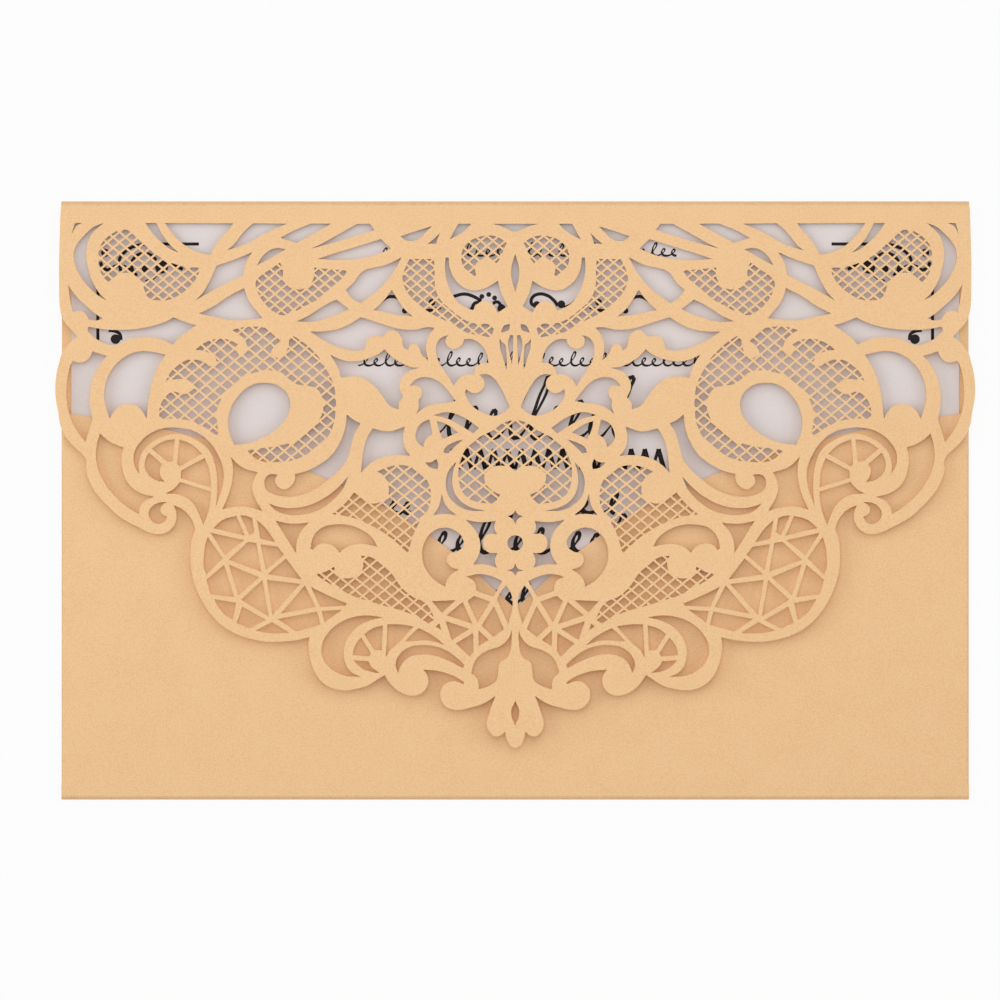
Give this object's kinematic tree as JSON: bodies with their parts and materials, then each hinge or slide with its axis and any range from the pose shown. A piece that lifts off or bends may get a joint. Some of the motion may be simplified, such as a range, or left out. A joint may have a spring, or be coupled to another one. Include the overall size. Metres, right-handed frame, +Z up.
{
  "type": "laser-cut wedding invitation",
  "caption": "Folded pocket of pearl card with a lace-cut flap over a printed card.",
  "frame": {"origin": "under the middle of the folder, on the surface that its back lies on", "axes": "+X along the width, +Y towards the lace flap's fold, +Z up from the back panel"},
  "size_m": [0.187, 0.122, 0.005],
  "materials": {
    "pearl_card": "satin",
    "white_card": "matte"
  },
  "bodies": {
    "root": {"lace_pocket_folder": "pearl_card", "insert_card": "white_card"}
  },
  "joints": []
}
